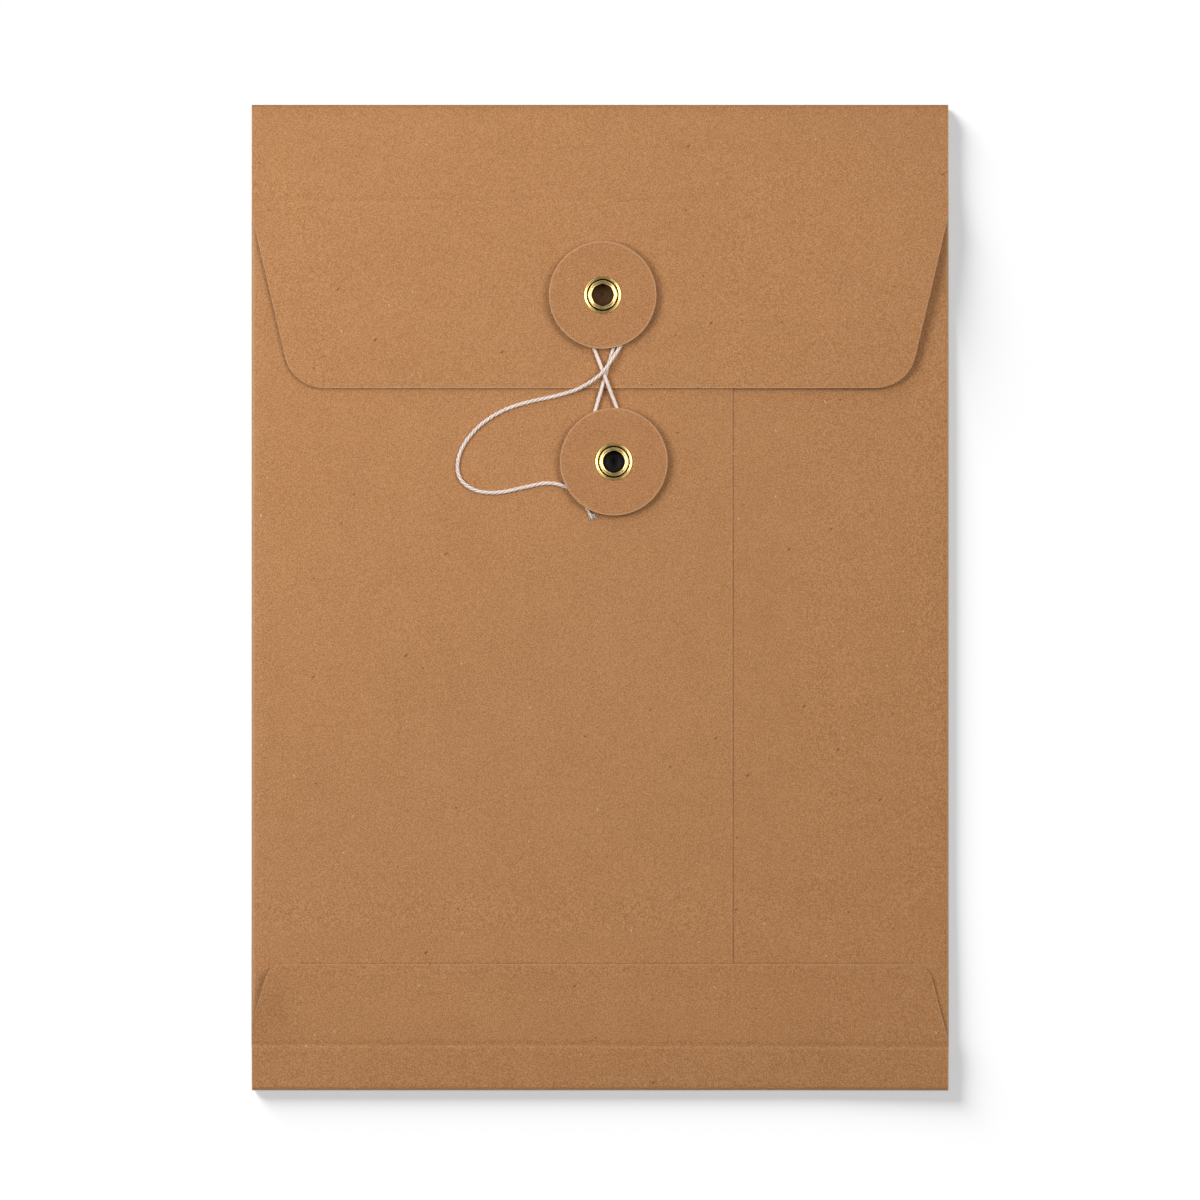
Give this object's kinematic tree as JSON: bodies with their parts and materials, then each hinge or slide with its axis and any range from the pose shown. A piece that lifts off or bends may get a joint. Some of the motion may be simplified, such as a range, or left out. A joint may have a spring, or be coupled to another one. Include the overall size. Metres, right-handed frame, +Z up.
{
  "type": "string tie envelope",
  "caption": "Kraft paper string tie envelope lying flat, with a hinged flap, board discs that turn on brass eyelets and a cotton string wound between them.",
  "frame": {"origin": "middle of the address face, on the table", "axes": "+X to the right across the flap side, +Y towards the top fold, +Z up out of the flap side"},
  "size_m": [0.162, 0.229, 0.0076],
  "materials": {
    "kraft_paper": "matte brown with fine fibres",
    "kraft_board": "matte brown board",
    "brass": "bright",
    "cotton_string": "off-white twist",
    "paper_glue": "dried film"
  },
  "bodies": {
    "envelope": {"front_panel": "kraft_paper", "left_side_fold": "kraft_paper", "right_side_fold": "kraft_paper", "bottom_fold": "kraft_paper", "flap_crease": "kraft_paper", "left_back_panel": "kraft_paper", "right_back_panel": "kraft_paper", "bottom_flap": "kraft_paper", "lower_spacer": "kraft_board", "lower_ring": "brass", "lower_eyelet": "brass", "seam_glue": "paper_glue", "bottom_glue_left": "paper_glue", "bottom_glue_right": "paper_glue", "string": "cotton_string"},
    "flap": {"top_flap": "kraft_paper", "upper_spacer": "kraft_board", "upper_eyelet": "brass", "upper_ring": "brass"},
    "upper_disc": {"upper_disc": "kraft_board"},
    "lower_disc": {"lower_disc": "kraft_board"}
  },
  "joints": [
    {"name": "flap_hinge", "type": "hinge", "parent": "envelope", "child": "flap", "pos_m": [0, 0.11312, 0.00138], "axis": [-1, 0, 0], "range_deg": [0, 175], "deforming": ["flap_crease", "string"]},
    {"name": "upper_disc_spin", "type": "hinge", "parent": "flap", "child": "upper_disc", "pos_m": [0.0006, 0.0701, 0], "axis": [0, 0, 1], "continuous": true},
    {"name": "lower_disc_spin", "type": "hinge", "parent": "envelope", "child": "lower_disc", "pos_m": [0.0032, 0.0315, 0], "axis": [0, 0, 1], "continuous": true}
  ]
}
